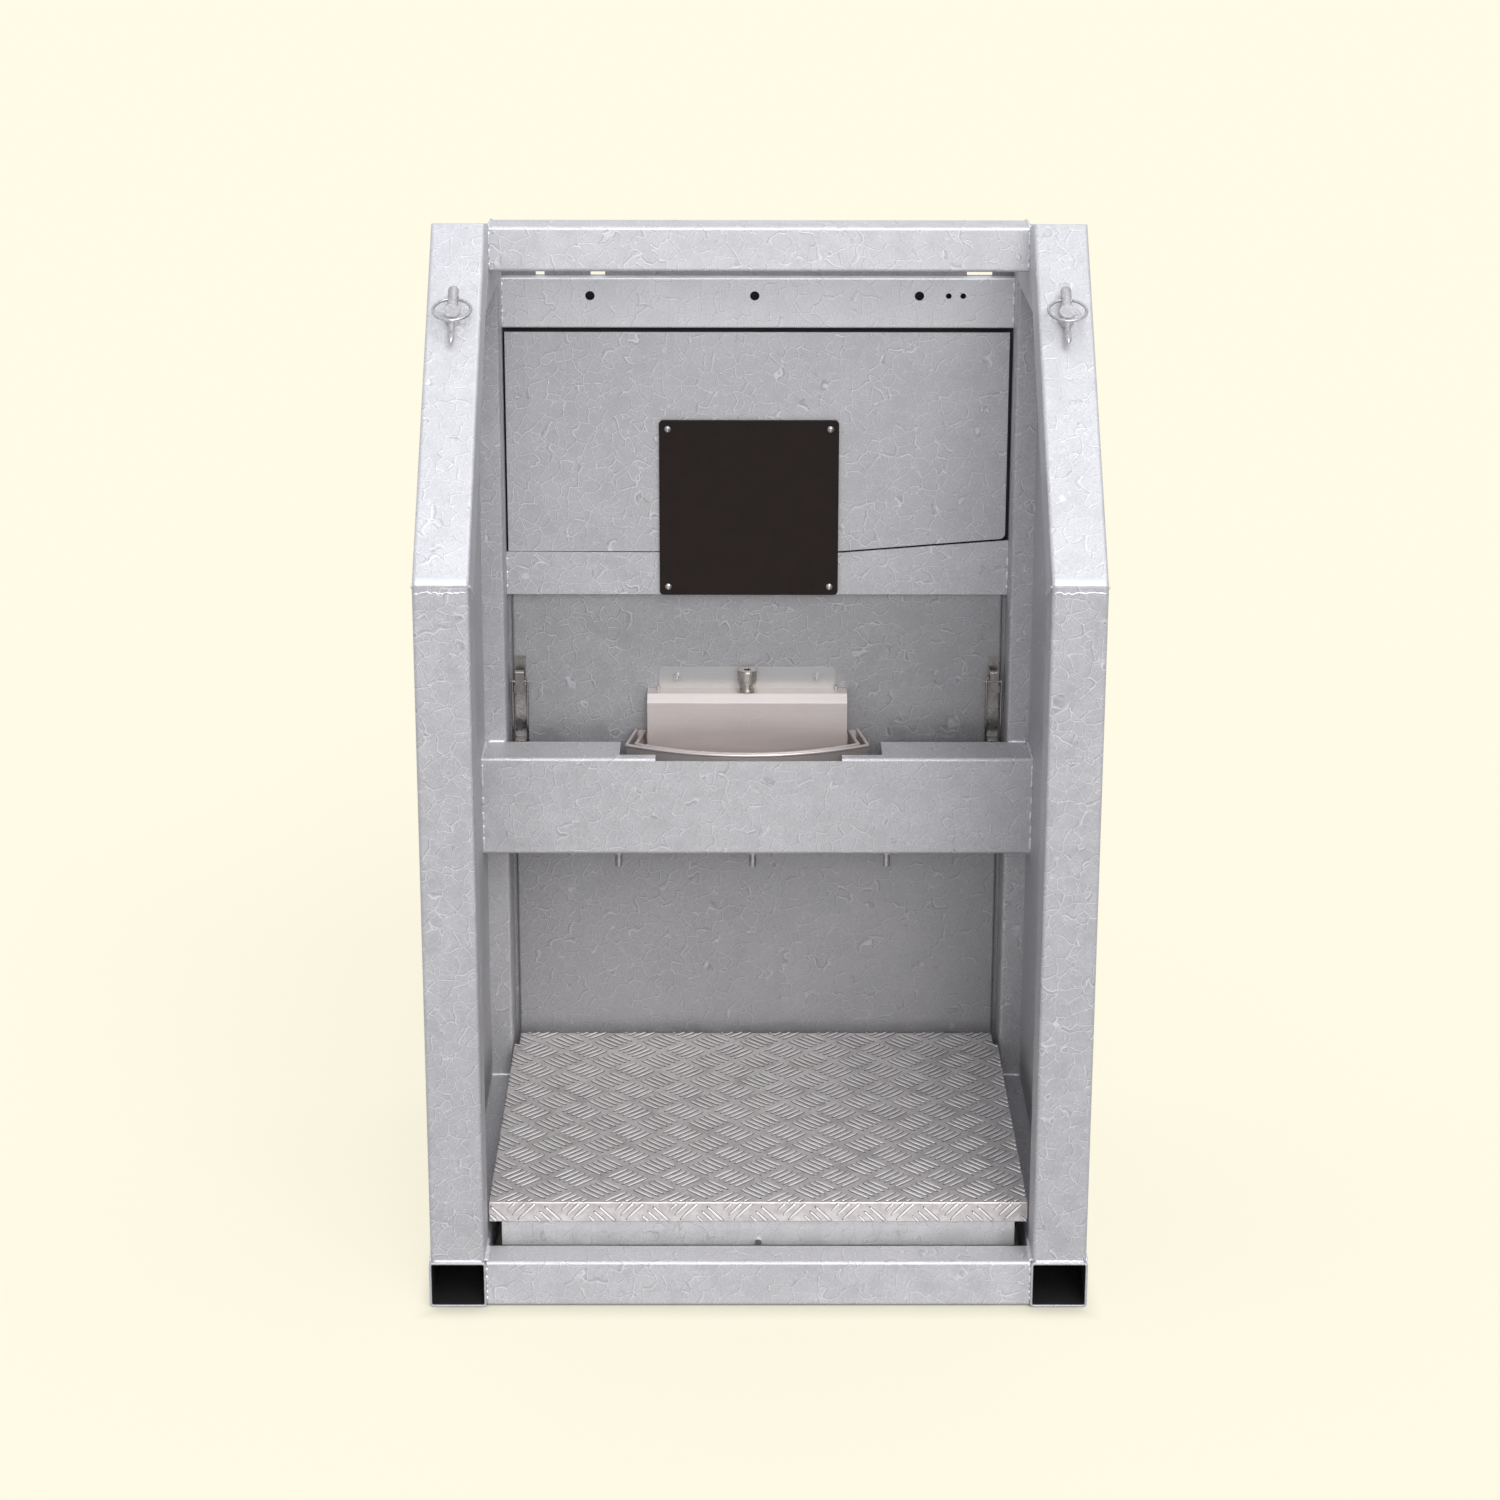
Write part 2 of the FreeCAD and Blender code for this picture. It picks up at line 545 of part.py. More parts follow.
bracket = box("bracket_raw", ("drink_x - 127", "back_y - mid_y - 3", "556"), ("254", "3", "115"))
bracket = round_edges("bracket_round", bracket, 6.0,
                      lambda e: along((0, 1, 0), 1.0)(e) and e.CenterOfMass.z > 600)
bracket_drills = []
bracket_screws = []
for i, dx in enumerate((-1, 1)):
    at = ("drink_x + %d * 100" % dx, "back_y - mid_y - 8", "657")
    bracket_drills.append(rod("bracket_drill_%d" % i, at, "3.1", "8", (0, 1, 0)))
    shank = rod("bracket_shank_%d" % i, at, "2.9", "14", (0, 1, 0))
    head = rod("bracket_head_%d" % i, ("drink_x + %d * 100" % dx, "back_y - mid_y - 7", "657"),
               "5.5", "4", (0, 1, 0))
    socket = rod("bracket_socket_%d" % i, ("drink_x + %d * 100" % dx, "back_y - mid_y - 9", "657"),
                 "2", "4.5", (0, 1, 0))
    bracket_screws.append(carve("bracket_screw_%d" % i, join("bracket_sb_%d" % i, [shank, head]), socket))
publish(carve("bracket", bracket, join("bracket_drills", bracket_drills)), "cover_bracket")
publish(group("bracket_screw_set", bracket_screws), "bracket_screws")

# water inlet: coupling nut above the cover, stem through it into the valve
stem = rod("fit_stem", ("drink_x", "back_y - mid_y - 22", "626"), "8", "34")
nut = rod("fit_nut", ("drink_x", "back_y - mid_y - 22", "654"), "13", "19")
collar = rod("fit_collar", ("drink_x", "back_y - mid_y - 22", "640"), "10.5", "4")
bore = rod("fit_bore", ("drink_x", "back_y - mid_y - 22", "620"), "5", "60")
publish(carve("fitting", join("fit_body", [stem, nut, collar]), bore), "water_fitting")

valve = box("valve_raw", ("drink_x - 14", "back_y - mid_y - 34", "594"), ("28", "24", "32"))
nozzle = rod("valve_nozzle", ("drink_x", "back_y - mid_y - 22", "584"), "6", "12")
ear = box("valve_ear", ("drink_x + 14", "back_y - mid_y - 31", "594"), ("18", "3", "14"))
ear_b = box("valve_ear_b", ("drink_x + 14", "back_y - mid_y - 16", "594"), ("18", "3", "14"))
pivot = rod("valve_pivot", ("drink_x + 26", "back_y - mid_y - 33", "601"), "2", "22", (0, 1, 0))
publish(join("valve", [valve, nozzle, ear, ear_b, pivot]), "float_valve")

hub = rod("arm_hub", ("drink_x + 26", "back_y - mid_y - 27.5", "601"), "5", "11", (0, 1, 0))
arm = box("arm_bar", ("drink_x + 28", "back_y - mid_y - 24", "599"), ("42", "4", "4"))
arm_hole = rod("arm_hole", ("drink_x + 26", "back_y - mid_y - 40", "601"), "2.06", "40", (0, 1, 0))
publish(carve("float_arm", join("arm_body", [hub, arm]), arm_hole), "float_arm")
float_raw = box("float_raw", ("drink_x + 70", "back_y - mid_y - 36", "584"), ("56", "28", "26"))
float_round = round_edges("float_round", float_raw, 7.0, along((0, 1, 0), 1.0))
publish(float_round, "float")

# ------------------------------------------------------------------- platform
LIP = dim("plat_lip")
PX = dim("plat_x")
PY = dim("plat_y") - MID
P_STEP = dim("rear_y") - MID - 3.0
P_REAR = 640.0 - MID
plan = [(-PX, PY), (PX, PY), (PX, P_STEP), (347, P_STEP), (347, P_REAR), (-347, P_REAR),
        (-347, P_STEP), (-PX, P_STEP)]
under = [(-PX + 4, PY + 4), (PX - 4, PY + 4), (PX - 4, P_STEP - 4), (343, P_STEP - 4),
         (343, P_REAR - 4), (-343, P_REAR - 4), (-343, P_STEP - 4), (-PX + 4, P_STEP - 4)]
tread = extruded("tread", "XY_Plane", plan, "2 * plat_lip", ("0", "0", "plat_z - plat_lip"))
trim = box("tread_trim", ("0 - 500", "0 - 500", "plat_z - 2 * plat_lip - 5"), ("1000", "1000", "plat_lip + 5"))
tray = extruded("tread_tray", "XY_Plane", under, "2 * plat_lip", ("0", "0", "plat_z - plat_lip - plat_t"))
tread = carve("tread_shell", carve("tread_half", tread, trim), tray)
tread = round_edges("tread_round", tread, 2.0,
                    lambda e: e.CenterOfMass.z > dim("plat_z") - 0.1 and e.Length > 100.0)
publish(tread, "tread_plate")

# weigh frame under the tread plate: two long bars and three cross bars
bars = []
cores = []
for i, y in enumerate((80, 325, 570)):
    at = ("0 - 338", "%d - mid_y" % y, "plat_z - plat_t - 62")
    bars.append(box("weigh_cross_%d" % i, at, ("676", "40", "62")))
    cores.append(box("weigh_core_%d" % i, ("0 - 340", "%d - mid_y + wall" % y, "plat_z - plat_t - 62 + wall"),
                     ("680", "40 - 2 * wall", "62 - 2 * wall")))
for tag, x in (("l", "0 - 338"), ("r", "298")):
    bars.append(box("weigh_long_" + tag, (x, "80 - mid_y", "plat_z - plat_t - 40"), ("40", "530", "40")))
    cores.append(box("weigh_long_core_" + tag, (x + " + wall", "78 - mid_y", "plat_z - plat_t - 40 + wall"),
                     ("40 - 2 * wall", "534", "40 - 2 * wall")))
ends = [box("weigh_front_wall", ("0 - 338", "80 - mid_y", "plat_z - plat_t - 62"), ("676", "wall", "62")),
        box("weigh_rear_wall", ("0 - 338", "610 - wall - mid_y", "plat_z - plat_t - 62"),
            ("676", "wall", "62"))]
hollow_frame = carve("weigh_hollow", join("weigh_bars", bars), join("weigh_cores", cores))
publish(join("weigh_frame", [hollow_frame] + ends), "weigh_frame")

screw = rod("weigh_screw", ("0", "76 - mid_y", "53"), "4.5", "4", (0, 1, 0))
publish(screw, "weigh_frame_screw")

# load cells stand on two floor rails that run between the base tubes
for tag, y in (("front", 90), ("rear", 565)):
    rail = box_tube("cell_rail_" + tag, "x", ("0 - base_in", "%d - mid_y" % y, "2"),
                    ("2 * base_in", "50", "15"), False)
    publish(rail, tag + "_cell_rail")
for tag, y in (("front", 96), ("rear", 580)):
    for s in (-1, 1):
        name = "cell_%s_%s" % (tag, side_name(s))
        x0 = "0 - 330" if s < 0 else "200"
        beam_raw = box(name + "_beam", (x0, "%d - mid_y" % y, "20"), ("130", "20", "20"))
        window = rod(name + "_window", (x0 + " + 65", "%d - mid_y - 5" % y, "30"), "6", "30", (0, 1, 0))
        foot_x = x0 if s > 0 else x0 + " + 90"
        tip_x = x0 + " + 95" if s > 0 else x0 + " + 5"
        foot = box(name + "_foot", (foot_x, "%d - mid_y" % y, "17"), ("40", "20", "3"))
        tip = box(name + "_tip", (tip_x, "%d - mid_y" % y, "40"), ("30", "20", "7"))
        cell = carve(name, join(name + "_body", [beam_raw, foot, tip]), window)
        publish(cell, "load_cell_%s_%s" % (tag, side_name(s)))

# ------------------------------------------------- linch pins on the rails
TILT = Rotation(Vector(1, 0, 0), 45)
PIN_S = dim("pin_s") * math.sqrt(0.5)


def on_rail(item, s):
    """Seat a part drawn on the rail face: local y up the slope, z outwards."""
    item.Placement = Placement(Vector(s * dim("tube_x"), PIN_S - MID, BEND + PIN_S), TILT)
    return item


for s in (-1, 1):
    side = side_name(s)
    post = rod("stud_raw_" + side, ("0", "0", "0"), "stud_r", "stud_h")
    hole = rod("stud_hole_" + side, ("0", "0 - 30", "pin_axis"), "pin_r + 0.06", "60", (0, 1, 0))
    publish(on_rail(carve("stud_" + side, post, hole), s), side + "_pin_stud")

    shaft = rod("pin_shaft_" + side, ("0", "0 - 38", "pin_axis"), "pin_r", "52", (0, 1, 0))
    tip = doc.addObject("Part::Cone", "pin_tip_" + side)
    bind(tip, "Radius1", "pin_r")
    tip.Radius2 = 2.0
    tip.Height = 4.0
    tip.Placement = Placement(Vector(0, 0, 0), Rotation(Vector(0, 0, 1), Vector(0, -1, 0)))
    bind(tip, "Placement.Base.y", "0 - 38")
    bind(tip, "Placement.Base.z", "pin_axis")
    head = rod("pin_head_" + side, ("0", "10.5", "pin_axis"), "7", "26", (0, 1, 0))
    dome = doc.addObject("Part::Sphere", "pin_dome_" + side)
    dome.Radius = 7.0
    bind(dome, "Placement.Base.y", "36.5")
    bind(dome, "Placement.Base.z", "pin_axis")
    eye = rod("pin_eye_" + side, ("0 - 20", "24", "pin_axis"), "3.4", "40", (1, 0, 0))
    body = join("pin_body_" + side, [shaft, tip, head, dome])
    publish(on_rail(carve("pin_" + side, body, eye), s), side + "_linch_pin")

    ring = doc.addObject("Part::Torus", "ring_" + side)
    bind(ring, "Radius1", "ring_r")
    ring.Radius2 = 2.0
    lean = math.radians(22.0)
    centre = Vector(0, 24.0 - dim("ring_r") * math.cos(lean), dim("pin_axis") + dim("ring_r") * math.sin(lean))
    seat = Placement(Vector(s * dim("tube_x"), PIN_S - MID, BEND + PIN_S), TILT)
    ring.Placement = seat.multiply(Placement(centre, Rotation(Vector(1, 0, 0), -22)))
    publish(ring, side + "_linch_ring")

# ------------------------------------------------------------- toggle latches
LATCH_Z = 645.0
for s in (-1, 1):
    side = side_name(s)
    cx = "%d * latch_x" % s
    base = box("latch_base_raw_" + side, (cx + " - 8", "back_y - mid_y - 2", "574"), ("16", "2", "114"))
    ears = [box("latch_ear_%s_%d" % (side, k), (cx + " + %s" % off, "back_y - mid_y - 22", "638"),
                ("1.5", "20", "11.5")) for k, off in enumerate(("0 - 8", "6.5"))]
    axle = rod("latch_axle_" + side, (cx + " - 8", "back_y - mid_y - 18", "645"), "1.5", "16", (1, 0, 0))
    publish(join("latch_base_" + side, [base, axle] + ears), side + "_latch_base")

    grip = box("latch_grip_" + side, (cx + " - 6", "back_y - mid_y - 22", "640"), ("12", "8", "30"))
    grip = round_edges("latch_grip_round_" + side, grip, 3.0,
                       lambda e: along((1, 0, 0), 1.0)(e) and e.CenterOfMass.z > 650)
    bore = rod("latch_bore_" + side, (cx + " - 10", "back_y - mid_y - 18", "645"), "1.56", "20", (1, 0, 0))
    eye = rod("latch_eye_" + side, (cx + " - 10", "back_y - mid_y - 18", "654"), "1.56", "20", (1, 0, 0))
    publish(carve("latch_lever_" + side, grip, join("latch_bores_" + side, [bore, eye])), side + "_latch_lever")

    legs = []
    for k, off in enumerate(("0 - 10.5", "10.5")):
        legs.append(rod("bail_leg_%s_%d" % (side, k), (cx + " + %s" % off, "back_y - mid_y - 18", "559.5"),
                        "1.7", "97"))
    for k, z in enumerate(("562", "654")):
        legs.append(rod("bail_bar_%s_%d" % (side, k), (cx + " - 13.5", "back_y - mid_y - 18", z),
                        "1.5", "27", (1, 0, 0)))
    publish(join("bail_" + side, legs), side + "_latch_bail")

    hook = box("catch_tab_" + side, (cx + " - 8", "back_y - mid_y - 24", "564.5"), ("16", "24", "2.5"))
    foot = box("catch_foot_" + side, (cx + " - 8", "back_y - mid_y - 2", "550"), ("16", "2", "16"))
    publish(join("catch_" + side, [hook, foot]), side + "_latch_catch")

# ---------------------------------------------------------------------- output
doc.recompute()
for item in doc.Objects:
    assert not any(flag in item.State for flag in ("Invalid", "Error")), item.Label + " did not compute"
for item in exported:
    assert not item.Shape.isNull() and item.Shape.isValid(), item.Label + " has a bad shape"
    assert item.Shape.Volume > 1.0, item.Label + " is empty"
for item in exported:
    item.Shape.exportStep("parts/%s.step" % item.Label)
total = exported[0].Shape.BoundBox
for item in exported[1:]:
    total.add(item.Shape.BoundBox)
print("nodes", len(exported), "box", [round(v, 1) for v in (total.XMin, total.YMin, total.ZMin,
                                                             total.XMax, total.YMax, total.ZMax)])
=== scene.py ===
import bpy, math, random
from mathutils import Vector, Matrix


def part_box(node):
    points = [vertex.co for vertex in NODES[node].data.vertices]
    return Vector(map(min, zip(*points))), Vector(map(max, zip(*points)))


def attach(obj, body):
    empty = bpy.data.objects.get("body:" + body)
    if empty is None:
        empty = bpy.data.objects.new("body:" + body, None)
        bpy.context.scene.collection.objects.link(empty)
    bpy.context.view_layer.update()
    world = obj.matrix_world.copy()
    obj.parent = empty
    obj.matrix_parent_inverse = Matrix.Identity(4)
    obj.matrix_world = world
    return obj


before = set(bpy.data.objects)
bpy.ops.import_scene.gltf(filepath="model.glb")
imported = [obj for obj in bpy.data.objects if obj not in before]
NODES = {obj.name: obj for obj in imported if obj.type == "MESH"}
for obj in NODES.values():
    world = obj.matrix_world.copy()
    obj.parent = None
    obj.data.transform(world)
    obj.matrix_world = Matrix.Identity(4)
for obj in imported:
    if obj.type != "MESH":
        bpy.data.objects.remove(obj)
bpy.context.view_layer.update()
SCENE = bpy.context.scene
SCENE.view_settings.view_transform = "Standard"
MM = 0.001


# ------------------------------------------------------------------ camera
# Fitted to the object's own corners. Angles are in radians and distances in
# metres. The front posts' face lies FRONT from the frame's middle along Y.
FRONT = -0.335
FOCAL, PITCH, YAW, ROLL = 3325.2, 0.29284, 0.00404, 0.0020
CAM_AT = Vector((-0.0284, -3.9058 + FRONT, 2.0349))
SENSOR, FRAME_PX, SHIFT_Y = 36.0, 1500.0, -0.05


def make_camera():
    flat = math.cos(PITCH)
    forward = Vector((math.sin(YAW) * flat, math.cos(YAW) * flat, -math.sin(PITCH)))
    right = Vector((math.cos(YAW), -math.sin(YAW), 0.0))
    up = right.cross(forward)
    r2 = math.cos(ROLL) * right + math.sin(ROLL) * up
    u2 = -math.sin(ROLL) * right + math.cos(ROLL) * up
    data = bpy.data.cameras.new("camera")
    data.sensor_width = SENSOR
    data.lens = SENSOR * FOCAL / FRAME_PX
    data.shift_y = SHIFT_Y
    data.clip_start, data.clip_end = 0.05, 200.0
    cam = bpy.data.objects.new("camera", data)
    SCENE.collection.objects.link(cam)
    cam.matrix_world = Matrix((
        (r2.x, u2.x, -forward.x, CAM_AT.x),
        (r2.y, u2.y, -forward.y, CAM_AT.y),
        (r2.z, u2.z, -forward.z, CAM_AT.z),
        (0, 0, 0, 1)))
    SCENE.camera = cam


# --------------------------------------------------------------- node trees
class Tree:
    """Short names for building one shader tree."""

    def __init__(self, tree):
        self.t = tree
        self.n, self.l = tree.nodes, tree.links

    def add(self, kind, inputs=None, **props):
        node = self.n.new(kind)
        for key, value in props.items():
            setattr(node, key, value)
        for key, value in (inputs or {}).items():
            if isinstance(value, bpy.types.NodeSocket):
                self.l.new(value, node.inputs[key])
            else:
                node.inputs[key].default_value = value
        return node

    def math(self, op, a, b=0.5, clamp=False):
        return self.add("ShaderNodeMath", {0: a, 1: b}, operation=op, use_clamp=clamp).outputs[0]

    def span(self, value, lo, hi, to_lo=0.0, to_hi=1.0):
        """value from lo..hi to to_lo..to_hi, eased at both ends."""
        return self.add("ShaderNodeMapRange", {0: value, 1: lo, 2: hi, 3: to_lo, 4: to_hi},
                        interpolation_type="SMOOTHSTEP").outputs[0]

    def mix(self, factor, a, b):
        return self.add("ShaderNodeMix", {0: factor, 6: a, 7: b}, data_type="RGBA").outputs[2]

    def noise(self, coords, scale, detail=2.0, rough=0.5, output="Fac"):
        return self.add("ShaderNodeTexNoise", {"Vector": coords, "Scale": scale, "Detail": detail,
                                               "Roughness": rough}).outputs[output]

    def scaled(self, coords, x, y, z):
        return self.add("ShaderNodeMapping", {"Vector": coords, "Scale": (x, y, z)}).outputs[0]

    def vector(self, op, *inputs):
        return self.add("ShaderNodeVectorMath", dict(enumerate(inputs)), operation=op).outputs[0]

    def shifted(self, coords, x, y, z):
        return self.vector("ADD", coords, (x, y, z))

    def warped(self, coords, scale, amount):
        """coords moved about by a soft noise, amount in metres."""
        soft = self.noise(coords, scale, 1.0, output="Color")
        centred = self.vector("SUBTRACT", soft, (0.5, 0.5, 0.5))
        return self.vector("MULTIPLY_ADD", centred, (amount,) * 3, coords)

    def cells(self, coords, scale):
        """Distance from the nearest edge between irregular cells."""
        return self.add("ShaderNodeTexVoronoi", {"Vector": coords, "Scale": scale},
                        feature="DISTANCE_TO_EDGE").outputs["Distance"]

    def threads(self, coords, scale, width, mask):
        """Thin lines along the cells' edges, only where mask lets them through."""
        return self.math("MULTIPLY", self.span(self.cells(coords, scale), 0.0, width, 1.0, 0.0), mask)

    def position(self):
        return self.add("ShaderNodeTexCoord").outputs["Object"]

    def axes(self, vector):
        return self.add("ShaderNodeSeparateXYZ", {0: vector}).outputs


def material(name, metallic=0.0):
    mat = bpy.data.materials.new(name)
    mat.use_nodes = True
    t = Tree(mat.node_tree)
    bsdf = t.n["Principled BSDF"]
    bsdf.inputs["Metallic"].default_value = metallic
    return mat, t, bsdf, t.position()


def rgb(r, g, b):
    return (r, g, b, 1.0)


def tinted(base, factor):
    """base made lighter or darker, kept at 1 or less."""
    return rgb(*[min(1.0, c * factor) for c in base])


def finish(t, bsdf, tone, roughness, height, strength, distance):
    """Colour, roughness and relief of one material; distance is in metres."""
    t.l.new(tone, bsdf.inputs["Base Color"])
    t.l.new(roughness, bsdf.inputs["Roughness"])
    bump = t.add("ShaderNodeBump", {"Height": height, "Strength": strength, "Distance": distance})
    t.l.new(bump.outputs[0], bsdf.inputs["Normal"])


# ----------------------------------------------------------------- materials
RUN_SCALE, FINE_SCALE = 50.0, 95.0      # cells per metre of the large and small run lines
HOLLOW_SHADE = rgb(0.050, 0.047, 0.046)       # painted shade: the colour of the unlit inside of a hollow


def galvanised(name, base, painted_shade_mask=None):
    """Hot-dip zinc: soft grey with curled, broken run lines, each a light thread beside a dark one; where a
    mask is given, it paints shade on the inside of a hollow.
    """
    mat, t, bsdf, co = material(name, metallic=0.60)
    mottle = t.noise(co, 30.0, 4.0, 0.65)
    cloud = t.noise(co, 5.0, 2.0, 0.5)
    grain = t.noise(co, 520.0, 2.0, 0.6)
    speck = t.noise(co, 330.0, 2.0, 0.6)

    run_at = t.warped(co, 30.0, 0.024)
    breaks = t.span(t.noise(co, 30.0, 1.0, 0.5), 0.27, 0.44)
    light = t.threads(run_at, RUN_SCALE, 0.028, breaks)
    dark = t.threads(t.shifted(run_at, 0.0010, 0.0010, -0.0012), RUN_SCALE, 0.032, breaks)
    fine_at = t.warped(t.shifted(co, 0.31, 0.17, 0.23), 80.0, 0.018)
    fine_breaks = t.span(t.noise(co, 60.0, 1.0), 0.33, 0.50)
    fine = t.threads(fine_at, FINE_SCALE, 0.06, fine_breaks)
    fine_dark = t.threads(t.shifted(fine_at, 0.0006, 0.0, -0.0007), FINE_SCALE, 0.07, fine_breaks)

    tone = t.mix(t.span(mottle, 0.3, 0.7), tinted(base, 0.95), tinted(base, 1.05))
    layers = ((t.span(speck, 0.52, 0.72), 0.22, 0.55), (t.span(speck, 0.48, 0.28), 0.22, 1.45),
              (t.span(cloud, 0.35, 0.7), 0.30, 0.86), (fine_dark, 0.26, 0.50), (dark, 0.40, 0.42),
              (fine, 0.28, 1.70), (light, 0.42, 1.80))
    for where, share, factor in layers:
        tone = t.mix(t.math("MULTIPLY", where, share), tone, tinted(base, factor))
    # painted shade: the masked area takes the dark colour of an unlit hollow
    if painted_shade_mask:
        tone = t.mix(painted_shade_mask(t, t.axes(co)), tone, HOLLOW_SHADE)

    relief = t.math("MULTIPLY", light, 0.9)
    for part, share in ((grain, 0.18), (fine, 0.5), (mottle, 0.8)):
        relief = t.math("ADD", relief, t.math("MULTIPLY", part, share))
    finish(t, bsdf, tone, t.span(mottle, 0.25, 0.75, 0.42, 0.58), relief, 0.30, 0.0005)
    return mat


def brushed(name, base, rough, across=(3.0, 260.0, 260.0), metallic=1.0, lines=0.12):
    """Brushed sheet: fine lines along one axis with a few faint scuffs."""
    mat, t, bsdf, co = material(name, metallic=metallic)
    streak = t.noise(t.scaled(co, *across), 4.0, 3.0, 0.65)
    cloud = t.noise(co, 14.0, 3.0, 0.6)
    scuff = t.threads(t.warped(co, 20.0, 0.02), 26.0, 0.02, t.span(cloud, 0.52, 0.62))
    tone = t.mix(streak, tinted(base, 1 - lines), tinted(base, 1 + lines))
    tone = t.mix(t.math("MULTIPLY", t.span(cloud, 0.35, 0.7), 0.22), tone, tinted(base, 0.84))
    tone = t.mix(t.math("MULTIPLY", scuff, 0.25), tone, tinted(base, 1.25))
    finish(t, bsdf, tone, t.span(streak, 0.2, 0.8, rough - 0.06, rough + 0.08), streak, 0.12, 0.0003)
    return mat


def cast_metal(name, base, rough, metallic, speck, wear):
    """Plated or bare small metal parts: fine speckle, darker in patches."""
    mat, t, bsdf, co = material(name, metallic=metallic)
    fine = t.noise(co, speck, 3.0, 0.6)
    patch = t.noise(co, speck / 5, 2.0, 0.55)
    tone = t.mix(t.span(fine, 0.3, 0.7), tinted(base, 1 - wear), tinted(base, 1 + wear))
    tone = t.mix(t.math("MULTIPLY", t.span(patch, 0.5, 0.68), 0.45), tone, tinted(base, 0.6))
    finish(t, bsdf, tone, t.span(patch, 0.3, 0.7, rough - 0.07, rough + 0.1), fine, 0.2, 0.0002)
    return mat


def plastic(name, base, rough):
    """Moulded plastic with a fine leathery grain and a little dust."""
    mat, t, bsdf, co = material(name)
    grain = t.cells(t.warped(co, 300.0, 0.0006), 900.0)
    dust = t.noise(co, 38.0, 4.0, 0.65)
    tone = t.mix(t.span(dust, 0.35, 0.75), rgb(*base), rgb(*[c * 1.22 + 0.002 for c in base]))
    bsdf.inputs["Specular IOR Level"].default_value = 0.22
    finish(t, bsdf, tone, t.span(dust, 0.3, 0.75, rough - 0.05, rough + 0.08), grain, 0.25, 0.0002)
    return mat


def bars_wear_and_painted_light(name, top_z, front_y):
    """Raised tread bars: near white on their crowns, worn smooth and with a painted highlight; near black where
    they meet the plate, from dirt and painted shade.
    """
    mat, t, bsdf, co = material(name, metallic=0.45)
    axis = t.axes(co)
    high = t.math("MAXIMUM", t.math("SUBTRACT", axis[2], top_z), t.math("SUBTRACT", front_y, axis[1]))
    uneven = t.math("MULTIPLY", t.math("SUBTRACT", t.noise(co, 55.0, 3.0, 0.6), 0.5), 0.5)
    crown = t.math("ADD", t.span(high, 0.0005, 0.0012), uneven, clamp=True)
    # painted highlight on the crowns and painted shade at the feet, over real polish and dirt
    tone = t.mix(crown, rgb(0.085, 0.078, 0.075), rgb(1.0, 0.98, 0.97))
    finish(t, bsdf, tone, t.span(crown, 0.0, 1.0, 0.50, 0.30), t.noise(co, 700.0), 0.15, 0.0002)
    return mat


def cover_shade_mask(t, axis):
    """Painted shade: dark on the rear cover's face that closes the box, weaker on the edge past the beam."""
    face = t.math("LESS_THAN", axis[1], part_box("rear_cover")[0].y + 0.0004)
    beam_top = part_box("drilled_beam")[1].z
    return t.math("MULTIPLY", face, t.span(axis[2], beam_top - 0.001, beam_top + 0.001, 1.0, 0.55))


# a base tube in metres: its middle, and where the inner walls, painted with shade, are taken to start
TUBE_X, TUBE_HALF_INNER, TUBE_WALL = 0.390, 0.0344, 0.0026
TUBE_MOUTH, TUBE_DEEP = 0.3385, 0.3360


def tube_shade_mask(t, axis):
    """1 on the inner walls of a base tube, back from its ends, where shade is painted."""
    side = t.math("ABSOLUTE", t.math("SUBTRACT", t.math("ABSOLUTE", axis[0]), TUBE_X))
    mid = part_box("left_base_tube")[1].z / 2
    tall = t.math("ABSOLUTE", t.math("SUBTRACT", axis[2], mid))
    wall = t.math("MULTIPLY", t.math("LESS_THAN", side, TUBE_HALF_INNER),
                  t.math("LESS_THAN", tall, mid - TUBE_WALL))
    return t.math("MULTIPLY", wall, t.span(t.math("ABSOLUTE", axis[1]), TUBE_MOUTH, TUBE_DEEP))


PLATE_LO, PLATE_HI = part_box("tread_plate")
GALV = (0.533, 0.530, 0.545)
MATS = {
    "galvanised": galvanised("galvanised_look", GALV),
    "tread": cast_metal("tread_look", (0.70, 0.655, 0.64), 0.40, 0.66, 120.0, 0.12),
    "stainless": brushed("stainless_look", (0.71, 0.645, 0.625), 0.40, metallic=0.70),
    "nickel": cast_metal("nickel_look", (0.66, 0.62, 0.56), 0.26, 1.0, 260.0, 0.12),
    "zinc": cast_metal("zinc_look", (0.58, 0.57, 0.57), 0.33, 0.95, 380.0, 0.16),
    "antenna_black": plastic("antenna_look", (0.0125, 0.0068, 0.0055), 0.62),
    "coil_plastic": plastic("coil_look", (0.03, 0.03, 0.035), 0.55),
    "float_plastic": plastic("float_look", (0.75, 0.74, 0.70), 0.45),
    "load_cell": brushed("load_cell_look", (0.62, 0.62, 0.63), 0.32),
    "weld": cast_metal("weld_look", (0.86, 0.87, 0.89), 0.36, 0.7, 500.0, 0.12),
    "ground": brushed("ground_look", (0.80, 0.81, 0.83), 0.46, (260.0, 3.0, 3.0), 0.6, 0.06),
    "tread_bar": bars_wear_and_painted_light("tread_bar_look", PLATE_HI.z, PLATE_LO.y),
    # painted shade: the rear cover's box face and the base tubes' inner walls are darkened as unlit hollows
    "rear_cover": galvanised("rear_cover_zinc", tuple(c * 0.95 for c in GALV), cover_shade_mask),
    "base_tube": galvanised("base_tube_zinc", GALV, tube_shade_mask),
    "latch": cast_metal("latch_look", (0.40, 0.38, 0.36), 0.27, 1.0, 420.0, 0.12),
    "cover_bracket": brushed("bracket_look", (0.47, 0.46, 0.455), 0.40, metallic=0.6),
}
